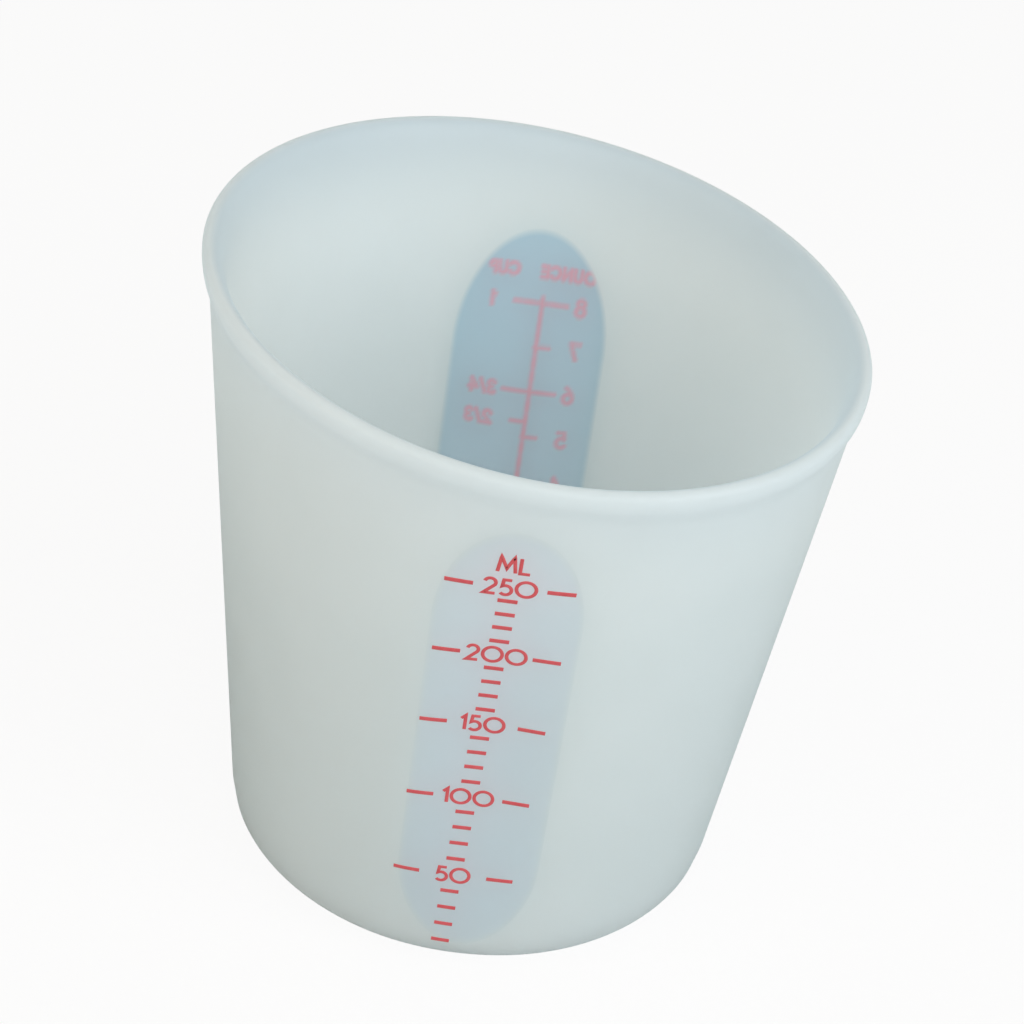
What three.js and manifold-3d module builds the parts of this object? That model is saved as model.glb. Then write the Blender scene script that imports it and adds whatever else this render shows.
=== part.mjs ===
// Silicone measuring cup: a tapered milky cup whose flared lip slopes to one side, with a clear
// window through the wall at front and rear, where the wall is flattened for the printed scales.
// Millimetres, +Z up, origin at the middle of the base. The millilitre scale faces -Y.
import * as THREE from 'three';
import { mergeVertices } from 'three/addons/utils/BufferGeometryUtils.js';
import Module from 'manifold-3d';

const wasm = await Module();
wasm.setup();

// Cup: driving dimensions
const BASE_RADIUS = 34; // outer wall line carried down to the table
const TAPER = 5.8; // lean of the wall from upright, degrees
const WALL = 2.2; // wall thickness, measured level
const FLOOR = 2; // floor thickness
const BASE_FILLET = 6; // outside, base into wall
const FLOOR_FILLET = 4; // inside, floor into wall

// Lip
const RIM_HEIGHT = 86; // mean height of the rim
const RIM_RISE = 4.7; // rise of the rim on its high side, and its fall opposite
const RIM_HIGH_SIDE = 139; // azimuth of the high side, degrees from +X
const LIP_DROP = 5.4; // the flare and the mouth start this far under the rim
const LIP_FLARE = 0.7; // reach of the lip past the wall line
const LIP_EDGE = 0.95; // radius of the outer edge
const QUARTER_ROUND = 0.5523; // handle of a curve that turns a quarter, as a share of its reach

// Windows
const FRONT = -90; // azimuth of the millilitre window, degrees
const FRONT_WIDTH = 18.2; // opening in the wall
const FRONT_UNDER_RIM = 10.9; // from the mean rim down to the window's upper end
const REAR = 90; // azimuth of the ounce window
const REAR_WIDTH = 22.6;
const REAR_UNDER_RIM = 10.6;
const WINDOW_ABOVE_FLOOR = 3; // from the floor up to a window's lower end
const END_STRETCH = 1.6; // height of a window's oval end over half its width
const WINDOW_GAP = 0.3; // clear gap between a panel and its opening
const FLAT_MARGIN = 3; // the flattened wall reaches this far past a window's sides
const FLAT_END = 8; // and this far past its ends

// Print, raised a little from the wall
const INK_GAP = 0.15; // clear gap under the ink
const INK_FILM = 0.2; // thickness of the ink
const STROKE = 0.45; // line width of numerals and letters
const NUMERAL_SHARE = 0.252; // height of a numeral over the space between the two top numerals
const SCALE_UNDER_WINDOW = 8.5; // from the window's upper end down to the top mark
const LETTER_GAP = 0.55; // between the centre lines of two neighbours
const TICK_THICKNESS = 0.6;
const TICK_CLEARANCE = 0.6; // from the widest numeral to the long ticks beside it
const TICK_MARGIN = 1.2; // from a long tick to the window's edge, with the column upright
const SHORT_TICK = 2.4; // length of the ticks between numerals
const HEADING_CLEARANCE = 0.8; // from the top numeral to the heading
const PRINT_LEAN = 1.8; // the millilitre column leans, left at its foot, degrees
const OUNCE_SHIFT = -1; // the ounce scale sits this far round from the middle of its window
const SPINE_WIDTH = 0.5; // line through the ounce scale, and its ticks
const SPINE_END = 0.8; // the line runs on past its first and last marks
const SINGLE_TICK = 2.1; // ticks to one side only
const OUNCE_CLEARANCE = 1.5; // from a cross tick to the ounce numerals
const OUNCE_MARGIN = 2.8; // from the widest ounce numeral to the window's edge

// What the scales mark
const ML_TOP = 250;
const ML_STEP = 50; // between numerals
const SHORT_TICKS = 4; // under each numeral
const OUNCE_COUNT = 8;
const OUNCE_ML = 29.57;
const CUP_OUNCES = 8; // ounces in a cup
const CUP_THIRDS = [1 / 3, 2 / 3]; // cup marks that fall between two ounces

// Fineness of the mesh
const AROUND = 96;
const WALL_STEPS = 10; // up the straight wall
const LONGEST_EDGE = 4; // of the ink, so that it follows the wall
const ARC_STEPS = 5;
const MERGE = 1e-4; // corners closer than this are one

const silicone = new THREE.MeshStandardMaterial({ color: 0xcdd8d8, roughness: 0.55, metalness: 0 });
const clearSilicone = new THREE.MeshStandardMaterial({ color: 0xa9bcc8, roughness: 0.25, metalness: 0 });
const redInk = new THREE.MeshStandardMaterial({ color: 0xd0454a, roughness: 0.6, metalness: 0 });

const cup = new THREE.Group();

function addMesh(name, geometry, material) {
  const mesh = new THREE.Mesh(geometry, material);
  mesh.name = name;
  cup.add(mesh);
}

// Solids for joining and cutting

function toSolid(geometry) {
  const bare = geometry.clone();
  bare.deleteAttribute('normal');
  bare.deleteAttribute('uv');
  const merged = mergeVertices(bare, MERGE);
  const corners = [];
  for (let i = 0; i < merged.index.count; i += 3) {
    const [a, b, c] = [0, 1, 2].map((k) => merged.index.getX(i + k));
    if (a !== b && b !== c && c !== a) corners.push(a, b, c);
  }
  return new wasm.Manifold(new wasm.Mesh({
    numProp: 3,
    vertProperties: new Float32Array(merged.attributes.position.array),
    triVerts: new Uint32Array(corners),
  }));
}

function toGeometry(solid) {
  const mesh = solid.getMesh();
  const geometry = new THREE.BufferGeometry();
  geometry.setAttribute('position', new THREE.BufferAttribute(mesh.vertProperties, 3));
  geometry.setIndex(new THREE.BufferAttribute(mesh.triVerts, 1));
  geometry.computeVertexNormals();
  return geometry;
}

// Cup wall

const lean = THREE.MathUtils.degToRad(TAPER);

function wallRadius(z) {
  return BASE_RADIUS + Math.tan(lean) * z;
}

function rimLift(azimuth) {
  return RIM_RISE * Math.cos(azimuth - THREE.MathUtils.degToRad(RIM_HIGH_SIDE));
}

// Round each window the wall is flattened: the deepest point moves in as far as the round wall
// stands out over a chord, and the rest fades out towards the sides and the ends
function fade(share) {
  return Math.max(1 - share * share, 0) ** 2;
}

function flatten(position, i, azimuth, width, underRim) {
  const angle = THREE.MathUtils.degToRad(azimuth);
  const x = position.getX(i);
  const y = position.getY(i);
  if (x * Math.cos(angle) + y * Math.sin(angle) <= MERGE) return;
  const foot = FLOOR + WINDOW_ABOVE_FLOOR;
  const top = RIM_HEIGHT - underRim;
  const middle = (foot + top) / 2;
  const reach = width / 2 + FLAT_MARGIN;
  const across = y * Math.cos(angle) - x * Math.sin(angle);
  const upright = (position.getZ(i) - middle) / ((top - foot) / 2 + FLAT_END);
  const chord = (reach * reach) / (2 * wallRadius(middle));
  const depth = chord * fade(across / reach) * fade(upright);
  position.setX(i, x - depth * Math.cos(angle));
  position.setY(i, y - depth * Math.sin(angle));
}

function flattenAtWindows(geometry) {
  const position = geometry.attributes.position;
  for (let i = 0; i < position.count; i += 1) {
    flatten(position, i, FRONT, FRONT_WIDTH, FRONT_UNDER_RIM);
    flatten(position, i, REAR, REAR_WIDTH, REAR_UNDER_RIM);
  }
}

// Straight run up or down the wall in steps, from the path's last point
function wallRun(path, from, to, inset) {
  for (let i = 1; i <= WALL_STEPS; i += 1) {
    const z = THREE.MathUtils.lerp(from, to, i / WALL_STEPS);
    path.lineTo(wallRadius(z) - inset, z);
  }
}

// Half section of the cup, from the middle of the base round the lip to the middle of the floor
function cupProfile() {
  const lipStart = RIM_HEIGHT - LIP_DROP;
  const edgeHeight = RIM_HEIGHT - LIP_EDGE;
  const flareRadius = wallRadius(edgeHeight) + LIP_FLARE;
  const edgeRadius = flareRadius - LIP_EDGE;
  const blend = (edgeHeight - lipStart) / 2;
  const mouthRadius = wallRadius(lipStart) - WALL;
  const mouthRise = QUARTER_ROUND * LIP_DROP;
  const mouthRun = QUARTER_ROUND * (edgeRadius - mouthRadius);
  const footRadius = wallRadius(BASE_FILLET) - BASE_FILLET / Math.cos(lean);
  const inside = FLOOR + FLOOR_FILLET;
  const drop = Math.sin(lean); // a fillet meets the wall this share of its radius under its centre

  const path = new THREE.Path();
  path.moveTo(0, 0);
  path.lineTo(footRadius, 0);
  path.absarc(footRadius, BASE_FILLET, BASE_FILLET, -Math.PI / 2, -lean, false);
  wallRun(path, BASE_FILLET * (1 - drop), lipStart, 0);
  path.bezierCurveTo(
    wallRadius(lipStart + blend), lipStart + blend,
    flareRadius, edgeHeight - blend,
    flareRadius, edgeHeight,
  );
  path.absarc(edgeRadius, edgeHeight, LIP_EDGE, 0, Math.PI / 2, false);
  path.bezierCurveTo(
    edgeRadius - mouthRun, RIM_HEIGHT,
    wallRadius(lipStart + mouthRise) - WALL, lipStart + mouthRise,
    mouthRadius, lipStart,
  );
  wallRun(path, lipStart, inside - FLOOR_FILLET * drop, WALL);
  path.absarc(
    wallRadius(inside) - WALL - FLOOR_FILLET / Math.cos(lean), inside,
    FLOOR_FILLET, -lean, -Math.PI / 2, true,
  );
  path.lineTo(0, FLOOR);
  return path.getPoints(ARC_STEPS);
}

// The lip slides up or down the wall's own cone, so that the wall stays straight under it
function slopeRim(geometry) {
  const position = geometry.attributes.position;
  for (let i = 0; i < position.count; i += 1) {
    const x = position.getX(i);
    const y = position.getY(i);
    const z = position.getZ(i);
    if (z > RIM_HEIGHT - LIP_DROP - MERGE) {
      const lift = rimLift(Math.atan2(y, x));
      const grow = 1 + (Math.tan(lean) * lift) / Math.hypot(x, y);
      position.setXYZ(i, x * grow, y * grow, z + lift);
    }
  }
}

function makeCup() {
  const geometry = new THREE.LatheGeometry(cupProfile(), AROUND);
  geometry.rotateX(Math.PI / 2);
  slopeRim(geometry);
  flattenAtWindows(geometry);
  return toSolid(geometry);
}

// Upright bar with oval ends, from inside the cup out through the wall at one side
function windowBar(azimuth, width, underRim, inset) {
  const radius = width / 2 - inset;
  const end = (END_STRETCH * width) / 2;
  const low = FLOOR + WINDOW_ABOVE_FLOOR + end;
  const high = RIM_HEIGHT - underRim - end;
  const outline = new THREE.Shape();
  outline.absellipse(0, low, radius, END_STRETCH * radius, Math.PI, 2 * Math.PI, false, 0);
  outline.absellipse(0, high, radius, END_STRETCH * radius, 0, Math.PI, false, 0);
  const near = BASE_RADIUS / 2;
  const depth = wallRadius(RIM_HEIGHT) - near + LIP_DROP;
  const bar = new THREE.ExtrudeGeometry(outline, {
    depth, curveSegments: ARC_STEPS * 3, bevelEnabled: false,
  });
  bar.translate(0, 0, near);
  bar.rotateX(Math.PI / 2);
  bar.rotateZ(THREE.MathUtils.degToRad(azimuth - FRONT));
  return toSolid(bar);
}

const frontBar = (inset) => windowBar(FRONT, FRONT_WIDTH, FRONT_UNDER_RIM, inset);
const rearBar = (inset) => windowBar(REAR, REAR_WIDTH, REAR_UNDER_RIM, inset);
const whole = makeCup();
addMesh('cup_body', toGeometry(whole.subtract(frontBar(0)).subtract(rearBar(0))), silicone);
addMesh('front_window', toGeometry(whole.intersect(frontBar(WINDOW_GAP))), clearSilicone);
addMesh('rear_window', toGeometry(whole.intersect(rearBar(WINDOW_GAP))), clearSilicone);

// Where the marks go: the top mark hangs under the front window's upper end, and each lower mark is
// at the level where the cone between floor and level holds its share of what it holds at the top mark
const printTop = RIM_HEIGHT - FRONT_UNDER_RIM;

function levelOf(millilitres) {
  const floorCube = (wallRadius(FLOOR) - WALL) ** 3;
  const topCube = (wallRadius(printTop - SCALE_UNDER_WINDOW) - WALL) ** 3;
  const cube = floorCube + (millilitres / ML_TOP) * (topCube - floorCube);
  return (Math.cbrt(cube) + WALL - BASE_RADIUS) / Math.tan(lean);
}

const numeralHeight = NUMERAL_SHARE * (levelOf(ML_TOP) - levelOf(ML_TOP - ML_STEP));

// Numerals and letters as centre lines in a box one unit high, each with its width

function line(...points) {
  return points.map(([x, y]) => new THREE.Vector2(x, y));
}

function arc(x, y, radius, from, to) {
  const start = THREE.MathUtils.degToRad(from);
  const end = THREE.MathUtils.degToRad(to);
  return new THREE.EllipseCurve(x, y, radius, radius, start, end, to < from).getPoints(ARC_STEPS * 3);
}

function bend(from, control, to) {
  const [a, b, c] = line(from, control, to);
  return new THREE.QuadraticBezierCurve(a, b, c).getPoints(ARC_STEPS);
}

const GLYPHS = {
  0: { width: 1, strokes: [arc(0.5, 0.5, 0.5, 0, 360)] },
  1: { width: 0.22, strokes: [line([0, 0.78], [0.22, 1], [0.22, 0])] },
  2: { width: 0.58, strokes: [[...arc(0.29, 0.72, 0.28, 165, -35), ...line([0, 0], [0.58, 0])]] },
  3: { width: 0.52, strokes: [arc(0.26, 0.75, 0.25, 150, -90), arc(0.26, 0.25, 0.25, 90, -150)] },
  4: { width: 0.64, strokes: [line([0.46, 0], [0.46, 1], [0, 0.3]), line([0, 0.3], [0.64, 0.3])] },
  5: { width: 0.58, strokes: [[...line([0.54, 1], [0.14, 1]), ...arc(0.27, 0.31, 0.31, 125, -140)]] },
  6: { width: 0.6, strokes: [arc(0.3, 0.3, 0.3, 0, 360), bend([0.46, 1], [0.03, 0.7], [0, 0.3])] },
  7: { width: 0.58, strokes: [line([0, 1], [0.58, 1], [0.18, 0])] },
  8: { width: 0.56, strokes: [arc(0.28, 0.28, 0.28, 0, 360), arc(0.28, 0.78, 0.22, 0, 360)] },
  9: { width: 0.6, strokes: [arc(0.3, 0.7, 0.3, 0, 360), bend([0.14, 0], [0.57, 0.3], [0.6, 0.7])] },
  M: { width: 0.9, strokes: [line([0, 0], [0.12, 1], [0.45, 0.25], [0.78, 1], [0.9, 0])] },
  L: { width: 0.5, strokes: [line([0, 1], [0, 0], [0.5, 0])] },
};

// Outline of a stroke: its centre line set off to both sides, with mitred corners
const SHORTEST_MITER = 0.4; // limits the spike at a sharp corner

function strokeShape(points, width) {
  const closed = points[0].distanceTo(points[points.length - 1]) < MERGE;
  const path = closed ? points.slice(0, -1) : points;
  const count = path.length;
  const across = (a, b) => new THREE.Vector2(a.y - b.y, b.x - a.x).normalize();
  const sides = [1, -1].map((side) => path.map((point, i) => {
    const last = closed ? path[(i + count - 1) % count] : path[i - 1];
    const next = closed ? path[(i + 1) % count] : path[i + 1];
    const before = last ? across(last, point) : across(point, next);
    const after = next ? across(point, next) : before;
    const miter = before.clone().add(after).normalize();
    const reach = (side * width) / 2 / Math.max(miter.dot(after), SHORTEST_MITER);
    return point.clone().addScaledVector(miter, reach);
  }));
  if (!closed) return new THREE.Shape([...sides[0], ...sides[1].reverse()]);
  const shape = new THREE.Shape(sides[1]);
  shape.holes.push(new THREE.Path(sides[0]));
  return shape;
}

// Flat ink of one or more strokes that touch, joined to one film
function inkFilm(strokes, width) {
  const films = strokes.map((points) => toSolid(new THREE.ExtrudeGeometry(
    strokeShape(points, width), { depth: INK_FILM, bevelEnabled: false },
  )));
  const joined = films.reduce((sum, film) => sum.add(film));
  return toGeometry(joined.refineToLength(LONGEST_EDGE));
}

// Lay flat ink on the wall: x runs round the cup from an azimuth, y runs up from a level
function addInk(name, geometry, azimuth, across, level) {
  const position = geometry.attributes.position;
  for (let i = 0; i < position.count; i += 1) {
    const z = level + position.getY(i);
    const radius = wallRadius(z) + INK_GAP + position.getZ(i);
    const turn = (across + position.getX(i)) / wallRadius(level);
    const angle = THREE.MathUtils.degToRad(azimuth) + turn;
    position.setXYZ(i, radius * Math.cos(angle), radius * Math.sin(angle), z);
  }
  flattenAtWindows(geometry);
  geometry.computeVertexNormals();
  addMesh(name, geometry, redInk);
}

function addTick(name, azimuth, middle, level, length) {
  const bar = inkFilm([line([-length / 2, 0], [length / 2, 0])], TICK_THICKNESS);
  addInk(name, bar, azimuth, middle, level);
}

const letterScale = numeralHeight - STROKE;

function wordWidth(word) {
  const letters = [...word].reduce((sum, letter) => sum + GLYPHS[letter].width * letterScale, 0);
  return letters + LETTER_GAP * (word.length - 1);
}

function addWord(word, names, azimuth, middle, level) {
  let left = middle - wordWidth(word) / 2;
  [...word].forEach((letter, i) => {
    const strokes = GLYPHS[letter].strokes.map((points) => points.map((point) => new THREE.Vector2(
      point.x * letterScale, (point.y - 0.5) * letterScale,
    )));
    addInk(names[i], inkFilm(strokes, STROKE), azimuth, left, level);
    left += GLYPHS[letter].width * letterScale + LETTER_GAP;
  });
}

// Millilitre scale on the front window
function columnPlace(level) {
  return (level - printTop) * Math.tan(THREE.MathUtils.degToRad(PRINT_LEAN));
}

const volumes = [];
for (let volume = ML_STEP; volume <= ML_TOP; volume += ML_STEP) volumes.push(volume);
const widest = Math.max(...volumes.map((volume) => wordWidth(String(volume)))) + STROKE;
const tickNear = widest / 2 + TICK_CLEARANCE;
const tickFar = FRONT_WIDTH / 2 - TICK_MARGIN;
const tickPlace = (tickNear + tickFar) / 2;

for (const volume of volumes) {
  const level = levelOf(volume);
  const middle = columnPlace(level);
  const digits = [...String(volume)].map((digit, i) => `ml_${volume}_digit_${i + 1}`);
  addWord(String(volume), digits, FRONT, middle, level);
  addTick(`ml_${volume}_tick_left`, FRONT, middle - tickPlace, level, tickFar - tickNear);
  addTick(`ml_${volume}_tick_right`, FRONT, middle + tickPlace, level, tickFar - tickNear);
  for (let i = 1; i <= SHORT_TICKS; i += 1) {
    const shortVolume = volume - (i * ML_STEP) / (SHORT_TICKS + 1);
    const shortLevel = levelOf(shortVolume);
    const name = `ml_${Math.round(shortVolume)}_tick`;
    addTick(name, FRONT, columnPlace(shortLevel), shortLevel, SHORT_TICK);
  }
}

const headingLevel = levelOf(ML_TOP) + numeralHeight + HEADING_CLEARANCE;
addWord('ML', ['ml_heading_m', 'ml_heading_l'], FRONT, columnPlace(headingLevel), headingLevel);

// Ounce scale on the rear window: a spine with ounce ticks to the left and cup ticks to the right
function ounceLevel(ounces) {
  return levelOf(ounces * OUNCE_ML);
}

const counts = [];
for (let count = 1; count <= OUNCE_COUNT; count += 1) counts.push(count);
const widestOunce = Math.max(...counts.map((count) => wordWidth(String(count)))) + STROKE;
const ounceEdge = REAR_WIDTH / 2 - OUNCE_MARGIN - widestOunce;
const crossTick = ounceEdge + OUNCE_SHIFT - OUNCE_CLEARANCE;
const spineFoot = ounceLevel(1);
const spineLength = ounceLevel(OUNCE_COUNT) - spineFoot;
const spineStrokes = [line([0, -SPINE_END], [0, spineLength + SPINE_END])];

function addSpineTick(ounces, left, right) {
  const y = ounceLevel(ounces) - spineFoot;
  spineStrokes.push(line([-left, y], [right, y]));
}

for (const count of counts) {
  const isCupMark = count % 2 === 0;
  addSpineTick(count, isCupMark ? crossTick : SINGLE_TICK, isCupMark ? crossTick : 0);
  const numeral = String(count);
  addWord(numeral, [`ounce_${count}`], REAR, -ounceEdge - wordWidth(numeral) / 2, ounceLevel(count));
}
for (const share of CUP_THIRDS) addSpineTick(share * CUP_OUNCES, 0, SINGLE_TICK);
addInk('ounce_spine', inkFilm(spineStrokes, SPINE_WIDTH), REAR, OUNCE_SHIFT, spineFoot);

export default cup;
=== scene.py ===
# %% [markdown]
# # A silicone measuring cup
#
# The cup is moulded from milky silicone. A clear window runs up the wall at the front and another at
# the rear, and each window carries a printed scale: millilitres in front, ounces and cups behind.
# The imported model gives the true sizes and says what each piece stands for. This script dresses it:
# smooth surfaces in place of the faceted solids, ink as thin as a print, and three finishes.

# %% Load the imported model
from collections import namedtuple

import bmesh
import bpy
import numpy as np
from mathutils import Matrix


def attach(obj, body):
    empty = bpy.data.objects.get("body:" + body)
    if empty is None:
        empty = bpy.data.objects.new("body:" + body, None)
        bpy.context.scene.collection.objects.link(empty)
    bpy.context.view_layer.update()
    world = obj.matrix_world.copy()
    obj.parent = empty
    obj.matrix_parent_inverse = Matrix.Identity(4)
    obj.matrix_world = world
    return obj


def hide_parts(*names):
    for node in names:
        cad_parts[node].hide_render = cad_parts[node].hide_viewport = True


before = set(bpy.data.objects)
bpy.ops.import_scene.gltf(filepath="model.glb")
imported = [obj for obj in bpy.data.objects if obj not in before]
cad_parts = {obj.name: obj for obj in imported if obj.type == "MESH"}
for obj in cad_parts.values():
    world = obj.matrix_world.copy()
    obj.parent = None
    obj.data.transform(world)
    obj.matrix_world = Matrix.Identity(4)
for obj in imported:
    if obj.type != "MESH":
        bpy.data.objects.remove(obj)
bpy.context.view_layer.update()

print("packed nodes:", len(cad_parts))

# %% [markdown]
# ## Camera
#
# The photograph was taken from above the front, with the camera tilted down and turned a little about
# its own line of sight, so the cup leans to the right in the picture. A camera could be placed by eye
# with an empty to look at. Here its place, tilt and roll are numbers, because they were worked out from
# the outline of the cup, and numbers can be checked.

# %% Camera
MM = 0.001
IMAGE_SIZE = 1024
SENSOR = 36.0  # millimetres across the picture
CAMERA_AZIMUTH = np.radians(-92.0)
CAMERA_REACH = 275.5 * MM  # level distance from the cup's axis
CAMERA_HEIGHT = 226.2 * MM
CAMERA_TILT = np.radians(32.34)  # below level
CAMERA_ROLL = np.radians(8.58)
FOCAL_PIXELS = 2416.4
UPRIGHT = np.array([0.0, 0.0, 1.0])


def camera_matrix():
    """Axes of the camera: forward points at the cup's axis and down by the tilt, right is level and up
    is square to both, and then right and up are turned by the roll. Blender's camera looks along -Z."""
    toward = -np.array([np.cos(CAMERA_AZIMUTH), np.sin(CAMERA_AZIMUTH), 0.0])
    forward = np.cos(CAMERA_TILT) * toward - np.sin(CAMERA_TILT) * UPRIGHT
    level = np.cross(toward, UPRIGHT)
    above = np.cross(level, forward)
    right = np.cos(CAMERA_ROLL) * level + np.sin(CAMERA_ROLL) * above
    up = np.cross(right, forward)
    place = -CAMERA_REACH * toward + CAMERA_HEIGHT * UPRIGHT
    matrix = np.eye(4)
    matrix[:3, :] = np.stack([right, up, -forward, place], axis=1)
    return Matrix(matrix.tolist())


scene = bpy.context.scene
camera = bpy.data.objects.new("camera", bpy.data.cameras.new("camera"))
camera.data.sensor_width = SENSOR
camera.data.lens = FOCAL_PIXELS / IMAGE_SIZE * SENSOR
camera.matrix_world = camera_matrix()
scene.collection.objects.link(camera)
scene.camera = camera
scene.view_settings.view_transform = "Standard"
print("lens", round(camera.data.lens, 1), "mm at", [round(v, 3) for v in camera.location])

# %% [markdown]
# ## The cup's sizes
#
# A moulder would call this cup a drafted wall: it leans out by the same angle all the way up, so that it
# leaves its mould. The base and the floor meet the wall in fillets. The lip leans out a little, and its
# inside opens like the mouth of a trumpet. The rim isn't level: it rises toward one side, as on a cup made
# for pouring. Round each window the wall is flattened, as a scale prints best on a flat. These are the
# sizes of the imported model, in metres. A window's two shades are no sizes: they set how much painted shade,
# darker and bluer, its inner face gets. The rear one has the dim room behind its top and the pale table behind
# its foot. The front one is seen from outside, with the bright mouth behind its top and the shaded floor
# behind its foot.

# %% Sizes of the cup
BASE_RADIUS = 34 * MM
TAPER = np.radians(5.8)
SLOPE = np.tan(TAPER)
WALL = 2.2 * MM
FLOOR = 2 * MM
BASE_FILLET = 6 * MM
FLOOR_FILLET = 4 * MM
RIM_HEIGHT = 86 * MM
RIM_RISE = 4.7 * MM
RIM_HIGH_SIDE = np.radians(139)
LIP_DROP = 5.4 * MM
LIP_START = RIM_HEIGHT - LIP_DROP
LIP_FLARE = 0.7 * MM
LIP_EDGE = 0.95 * MM
# foot_shade and top_shade: how much painted shade a pane's inner face gets, at its foot and at its top
Window = namedtuple("Window", "azimuth half low high foot_shade top_shade")
front_window = Window(azimuth=np.radians(-90), half=9.1 * MM, low=5 * MM, high=75.1 * MM,
                      foot_shade=0.9, top_shade=0.3)
rear_window = Window(azimuth=np.radians(90), half=11.3 * MM, low=5 * MM, high=75.4 * MM,
                     foot_shade=0.5, top_shade=1.0)
END_STRETCH = 1.6  # height of a window's oval end over half its width
FLAT_MARGIN = 3 * MM  # how far the flat goes past a window's sides
FLAT_END = 8 * MM  # and past its ends


def wall_radius(z):
    """Radius of the outer wall: the base radius plus the slope times the height."""
    return BASE_RADIUS + SLOPE * z


def rim_lift(angle):
    """Rise of the rim over its mean: a cosine of the angle from the high side."""
    return RIM_RISE * np.cos(angle - RIM_HIGH_SIDE)


def fade(share):
    """1 in the middle and 0 from a share of 1 on: one less the square of the share, squared."""
    return np.clip(1 - share**2, 0, None) ** 2


def flat_depth(window, across, z):
    """How far the wall moves in at a window: as far as a round wall stands out over a chord, fading out
    towards the chord's two ends and past the two ends of the window."""
    reach = window.half + FLAT_MARGIN
    middle = (window.low + window.high) / 2
    half_height = (window.high - window.low) / 2 + FLAT_END
    chord = reach**2 / (2 * wall_radius(middle))
    return chord * fade(across / reach) * fade((z - middle) / half_height)


def out_and_across(window, x, y):
    """Distance from the cup's axis towards a window, and to the left of that line."""
    toward = np.cos(window.azimuth), np.sin(window.azimuth)
    return x * toward[0] + y * toward[1], y * toward[0] - x * toward[1]


def flattened(points):
    """Points of a round cup, moved in where the wall is flattened."""
    x, y, z = points.T
    for window in (front_window, rear_window):
        out, across = out_and_across(window, x, y)
        depth = np.where(out > 0, flat_depth(window, across, z), 0)
        x = x - depth * np.cos(window.azimuth)
        y = y - depth * np.sin(window.azimuth)
    return np.stack([x, y, z], axis=1)


print("mouth", round(2000 * wall_radius(RIM_HEIGHT), 1), "mm across")
print("flat", round(flat_depth(front_window, 0, 40 * MM) / MM, 2), "mm deep at the front")

# %% [markdown]
# ## From a grid of points to a piece
#
# A surface is a grid: two parameters run along its rows and columns, and a formula turns each pair into
# a point. Neighbours on the grid make the faces. A shape with a hole, such as this wall with its windows,
# is a few grids side by side whose edges share their points, and merging those points makes one skin.
# Modelling the hole with a Boolean would be quicker to write, but it leaves long thin faces that shade
# badly.

# %% Grids into a piece
WELD = 1e-6  # metres: points closer than this are one
SHARP = np.radians(40)


def quads(rows, columns, start):
    """Corner numbers of a grid's faces: each point with its neighbour along the row and the two in the
    next row. The face looks along column direction times row direction."""
    corner = start + np.arange(rows * columns).reshape(rows, columns)
    ring = [corner[:-1, :-1], corner[:-1, 1:], corner[1:, 1:], corner[1:, :-1]]
    return np.stack(ring, axis=-1).reshape(-1, 4)


def add_piece(name, patches, material, nodes):
    """One mesh of several grids of a round cup, flattened at the windows and welded where they meet.
    It rides on the cup and stands for `nodes`."""
    starts = np.cumsum([0] + [p.shape[0] * p.shape[1] for p in patches])
    points = flattened(np.concatenate([p.reshape(-1, 3) for p in patches]))
    faces = np.concatenate([quads(p.shape[0], p.shape[1], s) for p, s in zip(patches, starts)])
    mesh = bpy.data.meshes.new(name)
    mesh.from_pydata(points, [], faces.tolist())
    welded = bmesh.new()
    welded.from_mesh(mesh)
    bmesh.ops.remove_doubles(welded, verts=welded.verts, dist=WELD)
    open_edges = sum(not edge.is_manifold for edge in welded.edges)
    volume = welded.calc_volume(signed=True)
    welded.to_mesh(mesh)
    welded.free()
    mesh.shade_smooth()
    mesh.set_sharp_from_angle(angle=SHARP)
    mesh.materials.append(material)
    piece = bpy.data.objects.new(name, mesh)
    scene.collection.objects.link(piece)
    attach(piece, "root")
    if nodes:
        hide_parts(*nodes)
    print(f"{name}: {len(mesh.polygons)} faces, {volume / MM**3:.2f} mm3, {open_edges} open edges")
    return piece


print("faces on a grid of 3 by 4 points:", len(quads(3, 4, 0)))

# %% [markdown]
# ## Finishes
#
# Every finish is a small tree of nodes. One helper adds a node with its settings and links, and one turns
# the hex colours that painters use, which are sRGB, into the linear numbers that light adds up in.

# %% Helpers for finishes
def linear(code):
    """Linear red, green and blue of an sRGB hex code: c / 12.92 below 0.04045, else a 2.4 power."""
    srgb = np.array([int(code[i:i + 2], 16) for i in (1, 3, 5)]) / 255
    light = np.where(srgb <= 0.04045, srgb / 12.92, ((srgb + 0.055) / 1.055) ** 2.4)
    return (*light.tolist(), 1.0)


MIX_FACTOR, MIX_A, MIX_B, MIX_RESULT = 0, 6, 7, 2  # a Mix node's sockets for colours


def add_node(tree, kind, settings={}, inputs={}):
    """Adds one node. An input is a plain value, or the socket of another node to link from."""
    node = tree.nodes.new(kind)
    for key, value in settings.items():
        setattr(node, key, value)
    for key, value in inputs.items():
        if isinstance(value, bpy.types.NodeSocket):
            tree.links.new(value, node.inputs[key])
        else:
            node.inputs[key].default_value = value
    return node


def new_finish(name):
    """An empty material with its output node, ready for a shader."""
    material = bpy.data.materials.new(name)
    material.use_nodes = True
    material.node_tree.nodes.clear()
    return material, material.node_tree, add_node(material.node_tree, "ShaderNodeOutputMaterial")


print("middle grey in linear light:", round(linear("#808080")[0], 3))
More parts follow.
